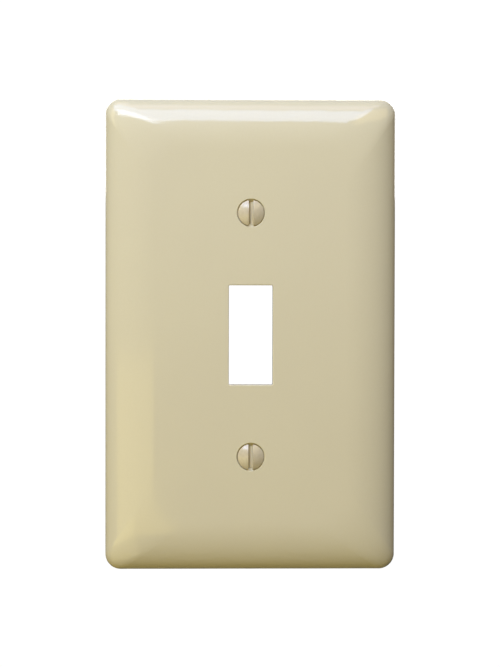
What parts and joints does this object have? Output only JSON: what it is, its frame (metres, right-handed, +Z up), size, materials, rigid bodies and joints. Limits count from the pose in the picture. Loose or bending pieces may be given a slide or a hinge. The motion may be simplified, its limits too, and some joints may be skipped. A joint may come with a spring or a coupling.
{
  "type": "toggle switch wall plate",
  "caption": "Flat rectangular cover plate with rolled-off edges, an opening for a toggle lever and captive oval-head screws that fix it over a wall switch.",
  "frame": {"origin": "midway between the screws, in the plane of the rim's back face, which is the wall's surface", "axes": "+Z up, +Y into the wall, so the front faces -Y, and +X to the right as seen from the front"},
  "size_m": [0.072, 0.0137, 0.1168],
  "materials": {
    "plate": "smooth gloss, ivory",
    "screw": "ivory lacquer on the head, bright zinc on the shank",
    "washer": "matte red-brown vulcanised fibre"
  },
  "bodies": {
    "plate": {"wall_plate": "plate"},
    "upper_retainer": {"upper_retaining_washer": "washer"},
    "upper_fixing_screw": {"upper_screw": "screw"},
    "lower_retainer": {"lower_retaining_washer": "washer"},
    "lower_fixing_screw": {"lower_screw": "screw"}
  },
  "joints": [
    {"name": "upper_screw_slide", "type": "slide", "parent": "plate", "child": "upper_retainer", "axis": [0, -1, 0], "range_m": [0, 0.002]},
    {"name": "upper_screw_turn", "type": "hinge", "parent": "upper_retainer", "child": "upper_fixing_screw", "pos_m": [0, 0, 0.03016], "axis": [0, 1, 0], "continuous": true},
    {"name": "lower_screw_slide", "type": "slide", "parent": "plate", "child": "lower_retainer", "axis": [0, -1, 0], "range_m": [0, 0.002]},
    {"name": "lower_screw_turn", "type": "hinge", "parent": "lower_retainer", "child": "lower_fixing_screw", "pos_m": [0, 0, -0.03016], "axis": [0, 1, 0], "continuous": true}
  ]
}
